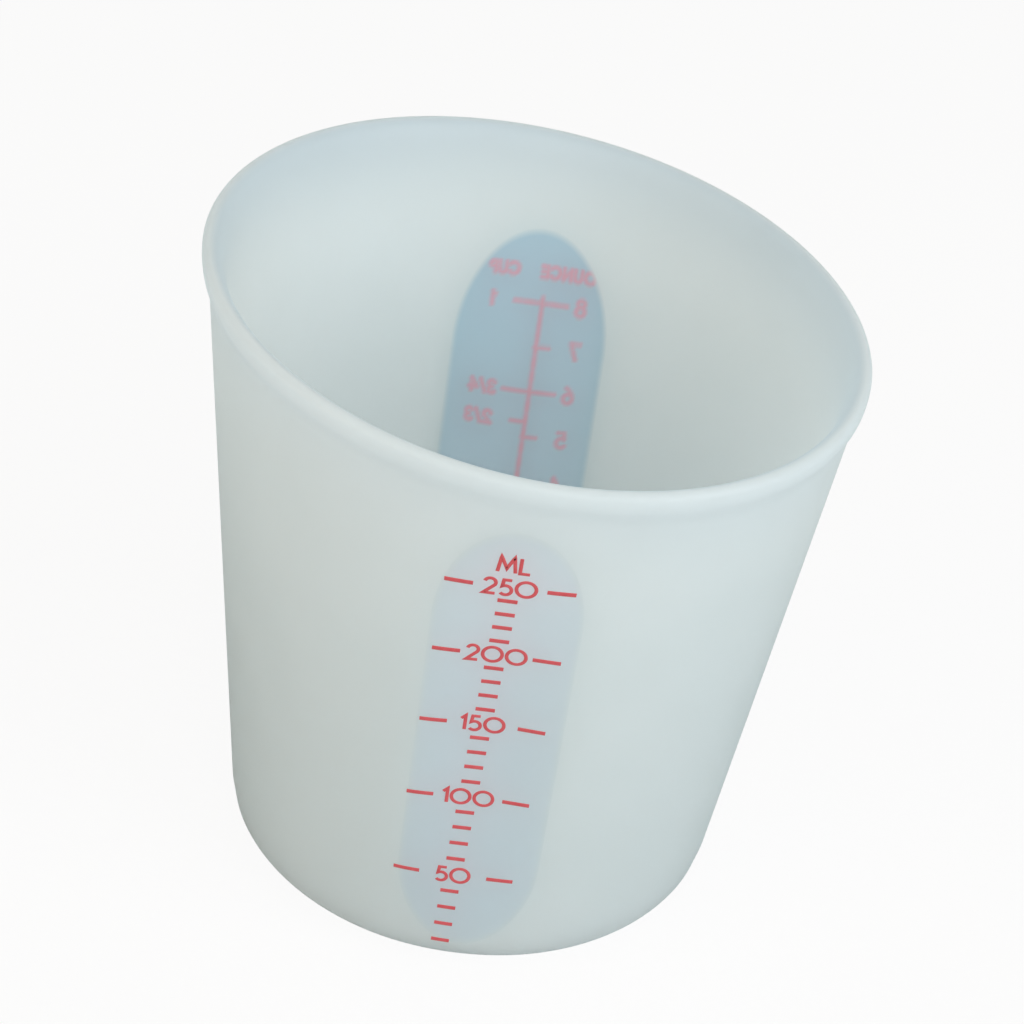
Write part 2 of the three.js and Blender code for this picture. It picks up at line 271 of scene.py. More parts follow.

# %% [markdown]
# ### Milky silicone
#
# Silicone for kitchen tools is cured in a steel mould with a fine satin finish. More than half of the
# light goes through its thin wall, so shadows on it are soft and its far side glows. Mixing a translucent
# shader into the surface gives that. Subsurface scattering is the usual choice, but it would draw a dark
# seam where the windows meet the wall. A cloudy pattern a thumb's width across shifts the tint a little,
# as filler does, and a fine grain from the mould breaks up the gloss. The grain is drawn at 0.5 mm, coarser
# than the real one, so that it shows in the picture at all. Inside the mouth the rubber runs out to a thin
# edge, and there a painted shade is laid on: the tint turns darker and bluer down from the rim. The cup's
# floor rests on the white table, which sends the light that comes through straight back, so the floor is
# drawn nearly opaque. The wall carries these two shares as attributes.

# %% Milky silicone
CLOUD = 16 * MM
GRAIN = 0.5 * MM
SILICONE_IOR = 1.41
THROUGH = 0.62  # share of the light that goes through the wall
THROUGH_STANDING = 0.1  # and through the floor, where it rests on the table

milky_silicone, tree, output = new_finish("milky silicone, satin moulded")
place = add_node(tree, "ShaderNodeTexCoord").outputs["Object"]
cloud = add_node(tree, "ShaderNodeTexNoise", {}, {"Vector": place, "Scale": 1 / CLOUD, "Detail": 2.0})
tint = add_node(tree, "ShaderNodeMix", {"data_type": "RGBA"}, {
    MIX_FACTOR: cloud.outputs["Fac"], MIX_A: linear("#ECF2F2"), MIX_B: linear("#F1F6F6")})
# painted shade inside the mouth: the tint turns darker and bluer, towards #DCE7EC, up to the rim
mouth_shade = add_node(tree, "ShaderNodeAttribute", {"attribute_name": "mouth_shade"})
tint = add_node(tree, "ShaderNodeMix", {"data_type": "RGBA"}, {
    MIX_FACTOR: mouth_shade.outputs["Fac"], MIX_A: tint.outputs[MIX_RESULT], MIX_B: linear("#DCE7EC")})
grain = add_node(tree, "ShaderNodeTexNoise", {}, {"Vector": place, "Scale": 1 / GRAIN, "Detail": 1.0})
satin = add_node(tree, "ShaderNodeMapRange", {}, {
    "Value": cloud.outputs["Fac"], "To Min": 0.29, "To Max": 0.37})
bump = add_node(tree, "ShaderNodeBump", {}, {
    "Height": grain.outputs["Fac"], "Strength": 0.12, "Distance": 0.02 * MM})
skin = add_node(tree, "ShaderNodeBsdfPrincipled", {}, {
    "Base Color": tint.outputs[MIX_RESULT], "Roughness": satin.outputs["Result"],
    "Normal": bump.outputs["Normal"], "IOR": SILICONE_IOR})
glow = add_node(tree, "ShaderNodeBsdfTranslucent", {}, {"Color": tint.outputs[MIX_RESULT]})
standing = add_node(tree, "ShaderNodeAttribute", {"attribute_name": "standing"})
through = add_node(tree, "ShaderNodeMapRange", {}, {
    "Value": standing.outputs["Fac"], "To Min": THROUGH, "To Max": THROUGH_STANDING})
milk = add_node(tree, "ShaderNodeMixShader", {}, {
    "Fac": through.outputs["Result"], 1: skin.outputs["BSDF"], 2: glow.outputs["BSDF"]})
tree.links.new(milk.outputs["Shader"], output.inputs["Surface"])
print("finish:", milky_silicone.name)

# %% [markdown]
# ### Clear silicone
#
# The windows are the same rubber without the filler: hazy and bluish rather than glass clear. Their inner
# face is painted bluer and darker, a painted shade for whatever is seen through them behind the cup.
# Along the edge, where the two rubbers were moulded together, they take the wall's own tint, and the ink
# on the outer face shows through pink. The pane carries the edge, the painted shade of the inner face and
# the ink as attributes, so the tints follow its own outline and print.

# %% Clear silicone
HAZE = 20 * MM

clear_silicone, tree, output = new_finish("clear silicone, polished")
place = add_node(tree, "ShaderNodeTexCoord").outputs["Object"]
edge, inside, ink = (add_node(tree, "ShaderNodeAttribute", {"attribute_name": name}).outputs["Fac"]
                     for name in ("edge", "inside", "ink"))
haze = add_node(tree, "ShaderNodeTexNoise", {}, {"Vector": place, "Scale": 1 / HAZE, "Detail": 2.0})
tint = add_node(tree, "ShaderNodeMix", {"data_type": "RGBA"}, {
    MIX_FACTOR: haze.outputs["Fac"], MIX_A: linear("#EAF1F4"), MIX_B: linear("#EEF5F7")})
# inside paints a darker, bluer shade (#C8DFEA) on the inner face, for what is seen through the pane
for share, colour in ((inside, "#C8DFEA"), (ink, "#FFB0BE"), (edge, "#EEF4F4")):
    tint = add_node(tree, "ShaderNodeMix", {"data_type": "RGBA"}, {
        MIX_FACTOR: share, MIX_A: tint.outputs[MIX_RESULT], MIX_B: linear(colour)})
gloss = add_node(tree, "ShaderNodeMapRange", {}, {
    "Value": haze.outputs["Fac"], "To Min": 0.18, "To Max": 0.26})
skin = add_node(tree, "ShaderNodeBsdfPrincipled", {}, {
    "Base Color": tint.outputs[MIX_RESULT], "Roughness": gloss.outputs["Result"], "IOR": SILICONE_IOR})
glow = add_node(tree, "ShaderNodeBsdfTranslucent", {}, {"Color": tint.outputs[MIX_RESULT]})
milk = add_node(tree, "ShaderNodeMixShader", {}, {
    "Fac": THROUGH, 1: skin.outputs["BSDF"], 2: glow.outputs["BSDF"]})
tree.links.new(milk.outputs["Shader"], output.inputs["Surface"])
print("finish:", clear_silicone.name)

# %% [markdown]
# ### Red ink
#
# The scale is screen printed with a silicone ink and cured: a flat red film that is nearly matte. The
# screen leaves it a touch thinner here and there, so the red varies over about a millimetre.

# %% Red ink
BLOTCH = 1.2 * MM

red_ink, tree, output = new_finish("red silicone ink, screen printed")
place = add_node(tree, "ShaderNodeTexCoord").outputs["Object"]
blotch = add_node(tree, "ShaderNodeTexNoise", {}, {"Vector": place, "Scale": 1 / BLOTCH, "Detail": 2.0})
tint = add_node(tree, "ShaderNodeMix", {"data_type": "RGBA"}, {
    MIX_FACTOR: blotch.outputs["Fac"], MIX_A: linear("#C84A51"), MIX_B: linear("#DA6569")})
bump = add_node(tree, "ShaderNodeBump", {}, {
    "Height": blotch.outputs["Fac"], "Strength": 0.2, "Distance": 0.01 * MM})
skin = add_node(tree, "ShaderNodeBsdfPrincipled", {}, {
    "Base Color": tint.outputs[MIX_RESULT], "Roughness": 0.5, "IOR": SILICONE_IOR,
    "Normal": bump.outputs["Normal"]})
tree.links.new(skin.outputs["BSDF"], output.inputs["Surface"])
print("finish:", red_ink.name)

# %% [markdown]
# ## The wall
#
# The cup could be a profile spun round an axis, but then the windows would have to be cut into it. Here
# the wall is a patchwork instead. Round each window a patch runs from the window's outline to a box, and
# the sides of the cup, the base, the floor and the lip fill the rest. First come the two radii that all
# of these share: each wall stands on a fillet, and above it follows the taper.

# %% Radii of the two sides of the wall
def fillet_centre(low, fillet, inset):
    """Radius of the ring of a fillet's centres: in from the tapered wall by the inset and by the fillet's
    radius over the cosine of the taper."""
    return wall_radius(low + fillet) - inset - fillet / np.cos(TAPER)


def standing_radius(z, low, fillet, inset):
    """Radius of a wall that stands on a fillet: the fillet's centre plus the circle's reach at that
    height, and above the point where they touch, the tapered wall less its inset."""
    centre = fillet_centre(low, fillet, inset)
    under = np.clip(low + fillet - z, 0, fillet)
    touch = low + fillet * (1 - np.sin(TAPER))
    return np.where(z < touch, centre + np.sqrt(fillet**2 - under**2), wall_radius(z) - inset)


def outer_radius(z):
    """Radius of the outside of the wall."""
    return standing_radius(z, 0.0, BASE_FILLET, 0.0)


def inner_radius(z):
    """Radius of the inside of the wall."""
    return standing_radius(z, FLOOR, FLOOR_FILLET, WALL)


half_way = RIM_HEIGHT / 2
print("radius half way up: outside", round(outer_radius(half_way) / MM, 2), "mm, inside",
      round(inner_radius(half_way) / MM, 2), "mm")

# %% [markdown]
# A window's outline is two half ovals joined by straight sides. Every point of it lies straight out from a
# centre: a fixed one at each oval end, and one that slides up or down along the straight sides. The ovals
# are circles that are stretched upright. The box round them is walked in the same order and stretched
# alike, so that each point of the outline has its partner. Both boxes are the same, although the rear
# window is wider, so the rest of the wall can join them.

# %% The window's outline and the box round it
BOX_HALF = 14 * MM
BOX_LOW = 3.6 * MM
BOX_HIGH = 75.8 * MM
BOX_END = 11 * MM  # from the centre of an oval end to the end of the box, before the stretch
STRAIGHT_STEPS = 30
CORNER_STEPS = 8
END_STEPS = 24
NO_ZERO = 1e-9  # keeps a divisor off zero


def window_walk():
    """Way up (0 at the low centre, 1 at the high one) and angle of the points once round,
    counter-clockwise from outside. The angles of a half turn include the box's two corners."""
    corner = np.arctan2(BOX_END, BOX_HALF)
    first = np.linspace(0, corner, CORNER_STEPS + 1)
    top = np.linspace(corner, np.pi - corner, END_STEPS + 1)
    turn = np.concatenate([first, top[1:-1], np.pi - first[::-1]])
    climb = np.linspace(0, 1, STRAIGHT_STEPS + 1)
    way = np.concatenate([climb[:-1], np.ones(turn.size), climb[-2:0:-1], np.zeros(turn.size)])
    up, down = np.zeros(STRAIGHT_STEPS), np.full(STRAIGHT_STEPS - 1, np.pi)
    return way, np.concatenate([up, turn, down, turn + np.pi])


def walk_round(low_centre, high_centre, reach):
    """Across and height of the walk's points, each `reach` out from its centre and stretched upright."""
    centre = low_centre + walk_way * (high_centre - low_centre)
    return reach * np.cos(walk_angle), centre + END_STRETCH * reach * np.sin(walk_angle)


def end_centres(window):
    """Heights of the centres of a window's two oval ends."""
    return window.low + END_STRETCH * window.half, window.high - END_STRETCH * window.half


walk_way, walk_angle = window_walk()
box_reach = np.minimum(BOX_HALF / np.maximum(np.abs(np.cos(walk_angle)), NO_ZERO),
                       BOX_END / np.maximum(np.abs(np.sin(walk_angle)), NO_ZERO))
box_end = END_STRETCH * BOX_END
box_across, box_height = walk_round(BOX_LOW + box_end, BOX_HIGH - box_end, box_reach)
print("points round a window:", walk_angle.size)

# %% [markdown]
# Seen from straight in front, a point of the wall is so far across and so high. The circle of the wall at
# that height tells how far out it is. So the outline keeps its true shape when it is laid on the wall,
# just as a window cut straight through it does.

# %% Patches round the windows
FRAME_STEPS = 6


def laid_on_wall(across, z, radius, azimuth):
    """A point `across` to the right of the middle at an azimuth: outward by sqrt(radius^2 - across^2)."""
    out = np.sqrt(radius**2 - across**2)
    x = out * np.cos(azimuth) - across * np.sin(azimuth)
    y = out * np.sin(azimuth) + across * np.cos(azimuth)
    return np.stack(np.broadcast_arrays(x, y, z), axis=-1)


def window_frame(window, radius_at):
    """Patch from the box in to the window's outline, in even steps from each point to its partner."""
    across, z = walk_round(*end_centres(window), window.half)
    step = np.linspace(0, 1, FRAME_STEPS + 1)[:, None]
    across = box_across + step * (across - box_across)
    z = box_height + step * (z - box_height)
    return laid_on_wall(across, z, radius_at(z), window.azimuth)


def window_cheek(window):
    """The cut edge of the wall: straight lines from the outline outside to the outline inside."""
    outside = window_frame(window, outer_radius)[-1]
    inside = window_frame(window, inner_radius)[-1]
    return np.stack([outside, inside])


wall_patches = []
for window in (front_window, rear_window):
    wall_patches += [window_frame(window, outer_radius), window_frame(window, inner_radius)[::-1],
                     window_cheek(window)]
print("patches round the windows:", len(wall_patches))

# %% [markdown]
# The sides of the cup lie between the two boxes, and their rows take the heights of the box's points, so
# that the grids meet point to point.

# %% Sides of the cup
SIDE_STEPS = 64
side_heights = np.unique(np.round(box_height[np.isclose(box_across, BOX_HALF)], 9))


def polar(angle, radius, z):
    """Points from angle, radius and height."""
    return np.stack(np.broadcast_arrays(radius * np.cos(angle), radius * np.sin(angle), z), axis=-1)


def cup_side(azimuth, radius_at):
    """From the right edge of one box round to the left edge of the other: the angle runs from the first
    box's half width to half a turn less that."""
    radius = radius_at(side_heights)[:, None]
    half = np.arcsin(BOX_HALF / radius)
    share = np.linspace(0, 1, SIDE_STEPS + 1)
    return polar(azimuth + half + share * (np.pi - 2 * half), radius, side_heights[:, None])


for window in (front_window, rear_window):
    wall_patches += [cup_side(window.azimuth, outer_radius), cup_side(window.azimuth, inner_radius)[::-1]]
print("rows up the side:", side_heights.size)

# %% [markdown]
# Base, floor and lip go all the way round. Each is a short profile carried round the axis, and its points
# stand at the angles that the boxes and the sides already have along that edge. For the base and the floor
# the profile is a flat disc and a fillet.

# %% Base and floor
DISC_RINGS = 10
FILLET_STEPS = 12


def ring_angles(height, radius):
    """Angles once round at one height: front box, one side, rear box, other side."""
    across = np.sort(box_across[np.isclose(box_height, height)])
    box = np.arcsin(across / radius)
    side = np.linspace(box[-1], np.pi - box[-1], SIDE_STEPS + 1)[1:]
    front, rear = front_window.azimuth, rear_window.azimuth
    return np.concatenate([front + box, front + side, rear + box[1:], rear + side])


def disc_and_fillet(low, fillet, inset):
    """Flat disc from the axis to the fillet's foot, then the fillet's arc up to the box's lower edge."""
    centre = fillet_centre(low, fillet, inset)
    turn = np.linspace(-np.pi / 2, np.arcsin((BOX_LOW - low - fillet) / fillet), FILLET_STEPS + 1)[1:]
    radius = np.concatenate([np.linspace(0, centre, DISC_RINGS), centre + fillet * np.cos(turn)])
    height = np.concatenate([np.full(DISC_RINGS, low), low + fillet * (1 + np.sin(turn))])
    return radius[:, None], height[:, None]


base_angles = ring_angles(BOX_LOW, outer_radius(BOX_LOW))
floor_angles = ring_angles(BOX_LOW, inner_radius(BOX_LOW))
wall_patches.append(polar(base_angles, *disc_and_fillet(0.0, BASE_FILLET, 0.0)))
wall_patches.append(polar(floor_angles, *disc_and_fillet(FLOOR, FLOOR_FILLET, WALL))[::-1])
print("points round the base:", base_angles.size)

# %% [markdown]
# The lip's profile is an S-shaped blend out of the wall, a quarter circle over the outer edge, and a long
# quarter round down into the mouth. A bevel would round the edge too, but it wouldn't open the mouth. The
# profile is lifted by the slope of the rim, and slides out along the taper as it rises.

# %% Lip
QUARTER_ROUND = 0.5523
CURVE_STEPS = 16
EDGE_STEPS = 12
WALL_ROWS = 4  # between the boxes and the lip, on either side of the wall


def bezier(a, b, c, d):
    """Cubic curve of four points: weights (1-t)^3, 3t(1-t)^2, 3t^2(1-t), t^3."""
    a, b, c, d = map(np.array, (a, b, c, d))
    t = np.linspace(0, 1, CURVE_STEPS + 1)[:, None]
    return (1 - t)**3 * a + 3 * t * (1 - t)**2 * b + 3 * t**2 * (1 - t) * c + t**3 * d


def lip_profile():
    """Radius and height over the lip, from the outside of the wall to its inside, for a level rim. The
    handles of a quarter round are QUARTER_ROUND of its reach."""
    edge_height = RIM_HEIGHT - LIP_EDGE
    flare = wall_radius(edge_height) + LIP_FLARE
    mouth = wall_radius(LIP_START) - WALL
    blend = (edge_height - LIP_START) / 2
    rise = QUARTER_ROUND * LIP_DROP
    run = QUARTER_ROUND * (flare - LIP_EDGE - mouth)
    outer = bezier((wall_radius(LIP_START), LIP_START), (wall_radius(LIP_START + blend), LIP_START + blend),
                   (flare, edge_height - blend), (flare, edge_height))
    turn = np.linspace(0, np.pi / 2, EDGE_STEPS + 1)[1:-1, None]
    over = np.hstack([flare - LIP_EDGE * (1 - np.cos(turn)), edge_height + LIP_EDGE * np.sin(turn)])
    inner = bezier((flare - LIP_EDGE, RIM_HEIGHT), (flare - LIP_EDGE - run, RIM_HEIGHT),
                   (wall_radius(LIP_START + rise) - WALL, LIP_START + rise), (mouth, LIP_START))
    return np.concatenate([outer, over, inner])


profile = lip_profile()
rows = profile.shape[0] + 2 * WALL_ROWS
outside_angles = ring_angles(BOX_HIGH, outer_radius(BOX_HIGH))
inside_angles = ring_angles(BOX_HIGH, inner_radius(BOX_HIGH))
angles = outside_angles + np.linspace(0, 1, rows)[:, None] * (inside_angles - outside_angles)
lift = rim_lift(angles)
climb = np.linspace(0, 1, WALL_ROWS + 1)[:-1, None]
up = BOX_HIGH + climb * (LIP_START + lift[:WALL_ROWS] - BOX_HIGH)
down = BOX_HIGH + climb[::-1] * (LIP_START + lift[-WALL_ROWS:] - BOX_HIGH)
on_lip = lift[WALL_ROWS:-WALL_ROWS]
radius = np.concatenate([wall_radius(up), profile[:, :1] + SLOPE * on_lip, wall_radius(down) - WALL])
height = np.concatenate([up, profile[:, 1:] + on_lip, down])
wall_patches.append(polar(angles, radius, height))
cup_wall = add_piece("cup_wall", wall_patches, milky_silicone, ["cup_body"])

# %% [markdown]
# The painted shade of the mouth is full on its inside. It falls off down the inner wall, first fast and then
# slowly, and the crest of the lip, which is rounded and thick, has none of it. The
# standing share is full over the middle of the base and the floor, and gone where they turn up.

# %% Painted shade at the mouth, standing at the base
MOUTH_FADE = 16 * MM
CREST = 0.9 * MM
STAND_RADIUS = 32 * MM
STAND_FADE = 5 * MM


def piece_points(piece):
    """All points of a piece, one in each row."""
    points = np.empty(len(piece.data.vertices) * 3)
    piece.data.vertices.foreach_get("co", points)
    return points.reshape(-1, 3)


def mark_points(piece, name, shares):
    """Gives each point of a piece its share, as an attribute that the finish reads."""
    piece.data.attributes.new(name, "FLOAT", "POINT").data.foreach_set("value", shares)
    print(f"{piece.name}: {name} on {np.count_nonzero(shares)} points")


def thin_share(points):
    """Share of painted shade: the square of what is left of MOUTH_FADE under the rim. It starts one CREST
    in from the outer edge and is full at two."""
    x, y, z = points.T
    under = RIM_HEIGHT + rim_lift(np.arctan2(y, x)) - z
    inward = wall_radius(z) + LIP_FLARE - np.hypot(x, y)
    return np.clip(inward / CREST - 1, 0, 1) * np.clip(1 - under / MOUTH_FADE, 0, 1)**2


def standing_share(points):
    """Grows from STAND_RADIUS inward over STAND_FADE, as long as the point is low."""
    x, y, z = points.T
    inward = np.clip((STAND_RADIUS - np.hypot(x, y)) / STAND_FADE, 0, 1)
    return inward * (z < FLOOR + FLOOR_FILLET)


# painted shade inside the mouth, darker and bluer down from the rim
mark_points(cup_wall, "mouth_shade", thin_share(piece_points(cup_wall)))
mark_points(cup_wall, "standing", standing_share(piece_points(cup_wall)))

# %% [markdown]
# ## The print
#
# The marks are where the cup holds their volume. The top mark hangs under the window's upper end, and a
# lower mark is at the height where the tapered cup holds its share of that. Numerals and letters are drawn
# with a pen: a few lines and arcs in a box one unit high. A font would be quicker, but none comes with
# these round open shapes, and a pen line can be laid on the wall point by point.

# %% Levels and glyphs
SCALE_UNDER_WINDOW = 8.5 * MM
SCALE_TOP = front_window.high - SCALE_UNDER_WINDOW
ML_TOP = 250
ML_STEP = 50
OUNCE_ML = 29.57
ARC_POINTS = 33
BEND_POINTS = 13


def level_of(millilitres):
    """Height of a mark: the cube of the inner radius grows in step with the volume of a cone."""
    low, high = (wall_radius(z) - WALL for z in (FLOOR, SCALE_TOP))
    cube = low**3 + millilitres / ML_TOP * (high**3 - low**3)
    return (np.cbrt(cube) + WALL - BASE_RADIUS) / SLOPE


def line(*points):
    """Straight strokes from point to point."""
    return np.array(points, float)


def arc(x, y, radius, start, stop):
    """Part of a circle, from one angle to another in degrees."""
    turn = np.radians(np.linspace(start, stop, ARC_POINTS))
    return np.stack([x + radius * np.cos(turn), y + radius * np.sin(turn)], axis=-1)


def bend(a, b, c):
    """Quadratic curve of three points: weights (1-t)^2, 2t(1-t), t^2."""
    t = np.linspace(0, 1, BEND_POINTS)[:, None]
    return (1 - t)**2 * np.array(a) + 2 * t * (1 - t) * np.array(b) + t**2 * np.array(c)


GLYPHS = {
    "0": (1.0, [arc(0.5, 0.5, 0.5, 0, 360)]),
    "1": (0.22, [line((0, 0.78), (0.22, 1), (0.22, 0))]),
    "2": (0.58, [np.vstack([arc(0.29, 0.72, 0.28, 165, -35), line((0, 0), (0.58, 0))])]),
    "3": (0.52, [arc(0.26, 0.75, 0.25, 150, -90), arc(0.26, 0.25, 0.25, 90, -150)]),
    "4": (0.64, [line((0.46, 0), (0.46, 1), (0, 0.3)), line((0, 0.3), (0.64, 0.3))]),
    "5": (0.58, [np.vstack([line((0.54, 1), (0.14, 1)), arc(0.27, 0.31, 0.31, 125, -140)])]),
    "6": (0.6, [arc(0.3, 0.3, 0.3, 0, 360), bend((0.46, 1), (0.03, 0.7), (0, 0.3))]),
    "7": (0.58, [line((0, 1), (0.58, 1), (0.18, 0))]),
    "8": (0.56, [arc(0.28, 0.28, 0.28, 0, 360), arc(0.28, 0.78, 0.22, 0, 360)]),
    "/": (0.4, [line((0, 0), (0.4, 1))]),
    "M": (0.9, [line((0, 0), (0.12, 1), (0.45, 0.25), (0.78, 1), (0.9, 0))]),
    "L": (0.5, [line((0, 1), (0, 0), (0.5, 0))]),
    "C": (0.85, [arc(0.5, 0.5, 0.5, 45, 315)]),
    "E": (0.5, [line((0.5, 1), (0, 1), (0, 0), (0.5, 0)), line((0, 0.52), (0.45, 0.52))]),
    "N": (0.72, [line((0, 0), (0, 1), (0.72, 0), (0.72, 1))]),
    "O": (1.0, [arc(0.5, 0.5, 0.5, 0, 360)]),
    "P": (0.5, [np.vstack([line((0, 0), (0, 1), (0.24, 1)), arc(0.24, 0.74, 0.26, 90, -90),
                           line((0, 0.48))])]),
    "U": (0.66, [np.vstack([line((0, 1)), arc(0.33, 0.33, 0.33, 180, 360), line((0.66, 1))])]),
}
print("glyphs:", "".join(GLYPHS), "top mark at", round(level_of(ML_TOP) / MM, 2), "mm")

# %% [markdown]
# A printed line is a ribbon: a low profile, flat on top with rounded shoulders, carried along the pen's
# path and laid on the tapered wall. Its foot is a little under the surface, so no light gets beneath it.
# At a corner the profile is turned to the middle direction and widened, which is a carpenter's mitre.

# %% Ribbons of ink
INK_HEIGHT = 0.06 * MM
INK_FOOT = -0.02 * MM
PEN_STEP = 0.35 * MM
SHORTEST_MITRE = 0.4
HAIR = 0.004 * MM  # a later stroke lies this much over an earlier one
SHOULDER = 0.4 * INK_HEIGHT  # where the rounding of a line's edge starts
FLAT_TOP = 0.75  # share of a line's width that is flat
SECTION = np.array([[1, INK_FOOT], [1, SHOULDER], [FLAT_TOP, INK_HEIGHT], [-FLAT_TOP, INK_HEIGHT],
                    [-1, SHOULDER], [-1, INK_FOOT], [1, INK_FOOT]])
pen_paths = {front_window: [], rear_window: []}


def fine_path(path):
    """The same path with a point at least every PEN_STEP along it, and its corners kept."""
    run = np.concatenate([[0], np.cumsum(np.hypot(*np.diff(path, axis=0).T))])
    stops = np.unique(np.concatenate([run, np.arange(0, run[-1], PEN_STEP)]))
    stops = stops[np.concatenate([[True], np.diff(stops) > WELD])]
    return np.stack([np.interp(stops, run, path[:, 0]), np.interp(stops, run, path[:, 1])], axis=-1)


def ribbon(path, width, window, across, level, order=0):
    """Ink line: path point plus section times the mitred side direction. The way across is an arc of
    the wall at the word's level, the height is the level plus the path's own, and the radius is the
    wall's plus the section's height. Open ends are closed by a fan to the middle of the section. The
    path is noted too, as angle and height, for the pane behind the ink."""
    path = fine_path(path)
    turn = (across + path[:, 0]) / wall_radius(level)
    pen_paths[window].append(np.stack([turn, level + path[:, 1]], axis=-1))
    ahead = np.diff(path, axis=0)
    ahead /= np.hypot(*ahead.T)[:, None]
    closed = np.allclose(path[0], path[-1], atol=WELD)
    before = np.vstack([ahead[-1:] if closed else ahead[:1], ahead])
    after = np.vstack([ahead, ahead[:1] if closed else ahead[-1:]])
    mitre = before + after
    mitre /= np.hypot(*mitre.T)[:, None]
    widen = 1 / np.maximum(np.sum(mitre * after, axis=1), SHORTEST_MITRE)
    side = np.stack([-mitre[:, 1], mitre[:, 0]], axis=-1) * widen[:, None] * width / 2
    flat = path[:, None] + SECTION[None, :, :1] * side[:, None]
    z = level + flat[..., 1]
    angle = window.azimuth + (across + flat[..., 0]) / wall_radius(level)
    skin = polar(angle, wall_radius(z) + SECTION[:, 1] + order * HAIR, z)
    if closed:
        return [skin]
    first, last = (np.broadcast_to(end[:-1].mean(axis=0), end.shape) for end in skin[[0, -1]])
    return [skin, np.stack([first, skin[0]]), np.stack([skin[-1], last])]


print("ink stands", INK_HEIGHT / MM, "mm high")

# %% [markdown]
# A word is set from left to right, with a fixed gap between letters, round its middle.

# %% Words
STROKE = 0.45 * MM
LETTER_GAP = 0.55 * MM
NUMERAL_SHARE = 0.252  # height of a numeral over the step between the top two rows
NUMERAL_HEIGHT = NUMERAL_SHARE * (level_of(ML_TOP) - level_of(ML_TOP - ML_STEP))
NUMERAL_SIZE = NUMERAL_HEIGHT - STROKE  # height of its pen lines


def word_width(word, size):
    """Widths of the letters plus the gaps between them."""
    return sum(GLYPHS[letter][0] for letter in word) * size + LETTER_GAP * (len(word) - 1)


def word_ribbons(word, size, window, middle, level):
    """Ribbons of a word whose pen lines are `size` high, centred on a place of the wall."""
    left = middle - word_width(word, size) / 2
    ribbons = []
    for letter in word:
        width, strokes = GLYPHS[letter]
        for order, stroke in enumerate(strokes):
            ribbons += ribbon((stroke - [0, 0.5]) * size, STROKE, window, left, level, order)
        left += width * size + LETTER_GAP
    return ribbons


def tick_ribbons(length, thickness, window, middle, level):
    """A level line of the scale."""
    return ribbon(line((-length / 2, 0), (length / 2, 0)), thickness, window, middle, level)


print("numerals", round(NUMERAL_HEIGHT / MM, 2), "mm high")

# %% [markdown]
# ### Millilitres
#
# Each fifty has its numeral with a long tick on both sides, and four short ticks below it. The whole
# column leans by a couple of degrees, because the screen wasn't quite square to the cup.

# %% Millilitre scale
PRINT_LEAN = np.radians(1.8)
TICK_THICKNESS = 0.6 * MM
TICK_GAP = 0.6 * MM  # from a numeral to its long ticks
TICK_MARGIN = 1.2 * MM  # from a long tick to the window's side
SHORT_TICK = 2.4 * MM
SHORT_STEP = 10  # millilitres
HEADING_GAP = 0.8 * MM
tick_near = (word_width("200", NUMERAL_SIZE) + STROKE) / 2 + TICK_GAP
tick_far = front_window.half - TICK_MARGIN


def column(level):
    """Middle of the leaning column at a level."""
    return (level - front_window.high) * np.tan(PRINT_LEAN)


def add_print(name, ribbons, nodes):
    """One printed piece."""
    add_piece(name, ribbons, red_ink, nodes)


for volume in range(ML_STEP, ML_TOP + 1, ML_STEP):
    level = level_of(volume)
    middle = column(level)
    word = str(volume)
    digits = [f"ml_{word}_digit_{i + 1}" for i in range(len(word))]
    numeral = word_ribbons(word, NUMERAL_SIZE, front_window, middle, level)
    add_print(f"ml_{word}_numeral", numeral, digits)
    place = (tick_near + tick_far) / 2
    ticks = [r for sign in (-1, 1) for r in tick_ribbons(
        tick_far - tick_near, TICK_THICKNESS, front_window, middle + sign * place, level)]
    add_print(f"ml_{word}_long_ticks", ticks, [f"ml_{word}_tick_left", f"ml_{word}_tick_right"])
    shorts = range(volume - SHORT_STEP, volume - ML_STEP, -SHORT_STEP)
    ticks = [r for short in shorts for r in tick_ribbons(
        SHORT_TICK, TICK_THICKNESS, front_window, column(level_of(short)), level_of(short))]
    add_print(f"ml_{word}_short_ticks", ticks, [f"ml_{short}_tick" for short in shorts])

heading = level_of(ML_TOP) + NUMERAL_HEIGHT + HEADING_GAP
add_print("ml_heading", word_ribbons("ML", NUMERAL_SIZE, front_window, column(heading), heading),
          ["ml_heading_m", "ml_heading_l"])

# %% [markdown]
# ### Ounces and cups
#
# At the rear a spine carries both scales: ounces to its left and fractions of a cup to its right, seen
# from outside. In the photograph they show through the window from inside, so they read backward.

# %% Ounce and cup scale
CUP_OUNCES = 8
OUNCE_SHIFT = -1 * MM
OUNCE_MARGIN = 2.8 * MM  # from a numeral to the window's side
SPINE_WIDTH = 0.5 * MM
SPINE_END = 0.8 * MM
SINGLE_TICK = 2.1 * MM
CROSS_GAP = 1.5 * MM  # from a cross tick to its numeral
ounce_edge = rear_window.half - OUNCE_MARGIN - (word_width("4", NUMERAL_SIZE) + STROKE)
cross_tick = ounce_edge + OUNCE_SHIFT - CROSS_GAP


def ounce_level(ounces):
    """Height of a mark in ounces."""
    return level_of(ounces * OUNCE_ML)


def spine_tick(ounces, left, right):
    """A tick across the spine, from so far left of it to so far right."""
    middle = OUNCE_SHIFT + (right - left) / 2
    return tick_ribbons(left + right, SPINE_WIDTH, rear_window, middle, ounce_level(ounces))


